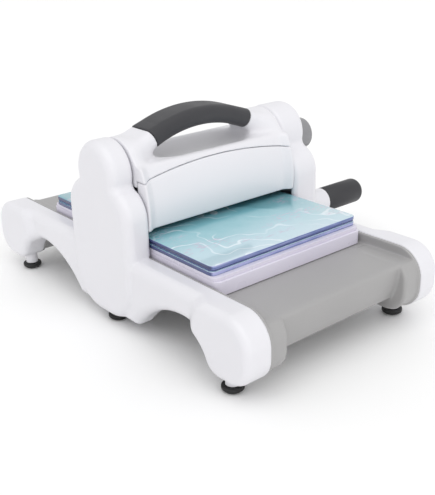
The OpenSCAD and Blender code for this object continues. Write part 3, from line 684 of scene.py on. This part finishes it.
def film_material():
    """Clear pad over a pale teal film with loose strokes, darker and bluer at the sawn edges; painted
    shade darkens it towards the rollers and on the long sides.
    """
    m = Nodes("pad_film")
    place = m.position()
    x, y, z = m.split(place)
    # Tone: pale towards the front edge and teal towards the rollers; the film's own teal, with painted
    # shade darkening it towards the rollers under the fascia
    # along runs from the open front edge to under the fascia and carries the painted shade
    along = m.add("ShaderNodeMapRange")
    along.inputs["From Min"].default_value = -0.118
    along.inputs["From Max"].default_value = -0.03
    m.join(y, along.inputs["Value"])
    soft = m.noise(place, 22.0, 5.0, 0.6)
    tone = m.math("ADD", m.math("MULTIPLY", along.outputs["Result"], 0.75), m.math("MULTIPLY", soft, 0.4))
    base = m.ramp(tone, [(0.12, (0.6, 0.72, 0.8)), (0.42, (0.47, 0.66, 0.73)),
                         (0.7, (0.28, 0.54, 0.6)), (1.0, (0.12, 0.36, 0.43))])
    # White strokes: thin bands of a warped wave
    wave = m.add("ShaderNodeTexWave", wave_type="BANDS", bands_direction="DIAGONAL")
    wave.inputs["Scale"].default_value = 17.0
    wave.inputs["Distortion"].default_value = 16.0
    wave.inputs["Detail"].default_value = 2.0
    wave.inputs["Detail Scale"].default_value = 1.3
    m.join(place, wave.inputs["Vector"])
    strokes = m.ramp(wave.outputs["Fac"], [(0.93, (0, 0, 0)), (0.985, (1, 1, 1))])
    patch = m.ramp(m.noise(place, 16.0, 2.0), [(0.45, (0, 0, 0)), (0.6, (1, 1, 1))])
    strokes = m.math("MULTIPLY", strokes, patch)
    base = m.mix(m.math("MULTIPLY", strokes, 0.6), base, (0.84, 0.9, 0.95))
    # Pinkish loose marks in a few rows
    rows = m.noise(m.position((120.0, 420.0, 1.0)), 1.0, 3.0, 0.75)
    pink = m.ramp(rows, [(0.53, (0, 0, 0)), (0.57, (1, 1, 1))])
    belts = m.ramp(m.noise(m.position((10.0, 42.0, 1.0)), 1.0, 1.0), [(0.5, (0, 0, 0)), (0.56, (1, 1, 1))])
    base = m.mix(m.math("MULTIPLY", m.math("MULTIPLY", pink, belts), 0.6), base, (0.55, 0.46, 0.6))
    # Edge faces: blue-violet bands on the ends; the long sides get a darker navy copy of the bands as
    # painted shade
    geometry = m.add("ShaderNodeNewGeometry")
    up = m.split(geometry.outputs["Normal"])[2]
    edge = m.ramp(m.math("ABSOLUTE", up), [(0.55, (1, 1, 1)), (0.9, (0, 0, 0))])
    bands = m.math("ADD", m.math("MULTIPLY", m.noise(m.position((5.0, 5.0, 480.0)), 1.0, 3.0), 0.8),
                   m.math("MULTIPLY", m.noise(m.position((60.0, 60.0, 200.0)), 1.0, 3.0), 0.2))
    front_tone = m.ramp(bands, [(0.36, (0.03, 0.045, 0.16)), (0.47, (0.13, 0.18, 0.42)),
                                (0.62, (0.4, 0.42, 0.68))])
    # Darker copy of the edge tone for the long sides: painted shade
    shaded_side_tone = m.ramp(bands, [(0.36, (0.012, 0.018, 0.08)), (0.62, (0.06, 0.08, 0.22))])
    side_shade_mask = m.math("ABSOLUTE", m.split(geometry.outputs["Normal"])[0])
    edge_tone = m.mix(m.ramp(side_shade_mask, [(0.55, (0, 0, 0)), (0.85, (1, 1, 1))]), front_tone, shaded_side_tone)
    m.join(m.mix(edge, base, edge_tone), m.shader.inputs["Base Color"])
    m.join(m.spread(m.noise(place, 50.0, 4.0), 0.06, 0.14), m.shader.inputs["Roughness"])
    m.set(Coat_Weight=0.6, Coat_Roughness=0.04, IOR=1.49)
    return m.material


def sheet_material(name, light, dark):
    m = Nodes(name)
    place = m.position()
    m.join(m.ramp(m.noise(place, 45.0, 4.0), [(0.3, dark), (0.7, light)]), m.shader.inputs["Base Color"])
    m.join(m.spread(m.noise(place, 90.0, 3.0), 0.3, 0.45), m.shader.inputs["Roughness"])
    m.join(m.bump(m.noise(place, 900.0, 3.0), 0.2, 0.00003), m.shader.inputs["Normal"])
    return m.material


PLATFORM = platform_material()
PAD = film_material()
CARD = sheet_material("card_cyan", (0.6, 0.85, 0.94), (0.5, 0.78, 0.9))
DIE = sheet_material("die_plate", (0.08, 0.1, 0.26), (0.05, 0.07, 0.2))

# ---------- pieces ----------

BODY_OF = {node: body for body, nodes in frame["record"]["behaviour"]["bodies"].items() for node in nodes}


def stand_for(piece, node):
    """The piece rides with its CAD node's body and hides that node."""
    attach(piece, BODY_OF[node])
    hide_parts(node)
    return piece


def covers(cell):
    low = (PASSAGE_X - 1, -END_Y - 1, 6)
    high = (CRANK_OUTER_X + 1, END_Y + 1, LOBE_TOP + 1)
    points, faces = net(side_cover_field(CRANK_OUTER_X), low, high, cell)
    stand_for(new_object("side_cover_right", points, faces, WHITE), "right_side_cover")
    high = (PAD_X + 1, END_Y + 1, LOBE_TOP + 1)
    points, faces = mirrored(*net(side_cover_field(OUTER_X), low, high, cell), 0)
    stand_for(new_object("side_cover_left", points, faces, WHITE), "left_side_cover")
    reach = PASSAGE_X + 1
    points, faces = net(top_cover_field, (-reach, -40, 117), (reach, 40, HANDLE_TOP + 2), cell)
    stand_for(new_object("centre_cover", points, faces, WHITE), "top_cover")
    low, high = (-reach, -43, FASCIA_LOW - 1), (reach, -24, SEAM_TOP + 2)
    points, faces = net(fascia_field, low, high, min(cell, 1.0))
    stand_for(new_object("fascia_front", points, faces, WHITE), "front_fascia")
    points, faces = mirrored(points, faces, 1)
    stand_for(new_object("fascia_rear", points, faces, WHITE), "rear_fascia")
    low, high = (-HANDLE_HALF - 8, -20, 138), (HANDLE_HALF + 8, 20, HANDLE_TOP + 1)
    points, faces = net(grip_field, low, high, cell)
    stand_for(new_object("handle_overmould", points, faces, GRIP), "handle_grip")


def tray(cell):
    points, faces = net(tray_field, (-SKIRT_X - 1, -END_Y, 9), (SKIRT_X + 1, END_Y, RAIL_TOP + 1), cell)
    stand_for(new_object("feed_tray", points, faces, GREY), "base_tray")


def stack():
    for name, node, corner, edge, material in (
        ("platform_base", "platform", 5.0, 0.5, PLATFORM),
        ("platform_top", "platform_leaf", 5.0, 0.3, PLATFORM),
        ("pad_lower", "lower_cutting_pad", 4.5, 0.7, PAD),
        ("card", "card_sheet", 3.0, 0.1, CARD),
        ("die", "cutting_die", 4.0, 0.3, DIE),
        ("pad_upper", "upper_cutting_pad", 4.5, 0.7, PAD),
    ):
        lo, hi = span(node)
        points, faces = plate_mesh(hi[0] - lo[0], hi[1] - lo[1], lo[2], hi[2], corner, edge,
                                   (lo[1] + hi[1]) / 2)
        stand_for(new_object(name, points, faces, material), node)


def feet():
    """Turned rubber feet with a chamfered sole and a screw recess."""
    base = 1.6
    for side in (-1, 1):
        for x, y in ((FOOT_X, -FOOT_Y), (MIDDLE_FOOT_X, 0), (FOOT_X, FOOT_Y)):
            profile = [(0.9, 0.05), (0.9, 3.9), (0.02, 4.1), (0.0, 4.4),
                       (0.0, FOOT_R - 2.7), (0.15, FOOT_R - 2.3),
                       (base - 0.3, FOOT_R - 1.2), (base, FOOT_R - 0.7), (base + 0.5, FOOT_R - 0.15),
                       (base + 1.0, FOOT_R), (FOOT_TOP - 0.9, FOOT_R), (FOOT_TOP - 0.35, FOOT_R - 0.2),
                       (FOOT_TOP - 0.08, FOOT_R - 0.6), (FOOT_TOP, FOOT_R - 1.1), (FOOT_TOP, 0.05)]
            points, faces = lathe_x(profile, (0, 0), 64)
            points = [(side * x + q, y + r, height) for height, q, r in points]
            hand = "left" if side < 0 else "right"
            row = "front" if y < 0 else "rear" if y else "middle"
            stand_for(new_object(f"foot_{hand}_{row}", points, faces, RUBBER), "rubber_feet")


def crank():
    lo, hi = span("crank_hub")
    profile = rounded(lo[0] - MIDDLE_X, hi[0] - MIDDLE_X, (hi[1] - lo[1]) / 2, 2.2)
    stand_for(new_object("hub_drum", *lathe_x(profile, (0, CRANK_Z)), HUB), "crank_hub")
    lo, hi = span("crank_grip")
    cap_end = span("grip_end_cap")[1][0]
    r = (hi[1] - lo[1]) / 2
    profile = rounded(lo[0] - MIDDLE_X, cap_end - MIDDLE_X, r, 6.0, 12)
    start = lo[0] - MIDDLE_X
    dome = [p for p in profile if p[0] > start + 10]
    profile = [(start, 0.05), (start, r - 0.6), (start + 0.6, r)] + dome
    made = stand_for(new_object("turning_grip", *lathe_x(profile, (0, GRIP_Z)), CRANK_GRIP), "crank_grip")
    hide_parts("grip_end_cap")


covers(0.9)
tray(1.0)
feet()
stack()
crank()

CAD_LOOKS = {
    "left_side_plate": PLATED, "right_side_plate": PLATED, "tie_rods": PLATED, "tie_rod_screws": BLACKENED,
    "cover_screws": BLACKENED, "plate_screws": BLACKENED, "lower_roller_bushes": BRONZE,
    "upper_roller_bushes": BRONZE, "crank_shaft_bushes": BRONZE, "thrust_washers": BLACKENED,
    "rubber_feet": RUBBER, "foot_screws": BLACKENED, "lower_roller": GROUND, "lower_sync_gear": GEAR,
    "lower_gear_key": BLACKENED, "lower_gear_circlip": BLACKENED, "upper_roller": GROUND,
    "upper_sync_gear": GEAR, "drive_gear": GEAR, "upper_gear_keys": BLACKENED,
    "upper_gear_circlips": BLACKENED, "crank_shaft": GROUND, "crank_arm": WHITE, "crank_screw": BLACKENED,
    "crank_hub_cap": HUB, "grip_spindle": GROUND,
}
for node, material in CAD_LOOKS.items():
    mesh = frame["nodes"][node].data
    mesh.materials.clear()
    mesh.materials.append(material)

# ---------- camera, floor and light ----------

EYE = (-398.4, -509.8, 305.3)
YAW, PITCH, ROLL = -39.6, -22.4, -1.4
FOCAL = 782.0
FRAME_LONG_SIDE = 495


def camera():
    yaw, pitch, roll = (math.radians(a) for a in (YAW, PITCH, ROLL))
    forward = Vector((-math.sin(yaw) * math.cos(pitch), math.cos(yaw) * math.cos(pitch), math.sin(pitch)))
    flat_right = Vector((math.cos(yaw), math.sin(yaw), 0))
    flat_up = flat_right.cross(forward)
    right = flat_right * math.cos(roll) + flat_up * math.sin(roll)
    up = right.cross(forward)
    data = bpy.data.cameras.new("camera")
    data.sensor_width = 36
    data.lens = FOCAL / FRAME_LONG_SIDE * data.sensor_width
    data.clip_start, data.clip_end = 0.01, 50
    made = bpy.data.objects.new("camera", data)
    turn = Matrix((right, up, -forward)).transposed()
    place = Vector(EYE) + Vector((MIDDLE_X, 0, 0))
    made.matrix_world = Matrix.Translation(place * MM) @ turn.to_4x4()
    bpy.context.scene.collection.objects.link(made)
    bpy.context.scene.camera = made


def sun(name, towards, strength, soft_degrees):
    """Broad soft light from one direction, given as the vector that points at it."""
    data = bpy.data.lights.new(name, "SUN")
    data.energy = strength
    data.angle = math.radians(soft_degrees)
    made = bpy.data.objects.new(name, data)
    made.rotation_euler = Vector(towards).to_track_quat("Z", "Y").to_euler()
    bpy.context.scene.collection.objects.link(made)


def floor():
    mesh = bpy.data.meshes.new("floor")
    s = 6.0
    mesh.from_pydata([(-s, -s, 0), (s, -s, 0), (s, s, 0), (-s, s, 0)], [], [(0, 1, 2, 3)])
    m = Nodes("floor_white")
    m.join(m.ramp(m.noise(m.position(), 3.0), [(0.3, (0.95, 0.95, 0.95)), (0.7, (0.97, 0.97, 0.97))]),
           m.shader.inputs["Base Color"])
    m.set(Roughness=0.9)
    mesh.materials.append(m.material)
    made = bpy.data.objects.new("floor", mesh)
    bpy.context.scene.collection.objects.link(made)


def world():
    made = bpy.data.worlds.new("studio")
    made.use_nodes = True
    made.node_tree.nodes["Background"].inputs["Color"].default_value = (1, 1, 1, 1)
    made.node_tree.nodes["Background"].inputs["Strength"].default_value = 0.82
    bpy.context.scene.world = made


camera()
floor()
world()
sun("key", (-0.3, -0.25, 0.88), 0.75, 60)
sun("fill", (-0.1, -0.95, 0.3), 0.45, 70)
bpy.context.scene.view_settings.view_transform = "Standard"

bpy.context.view_layer.update()
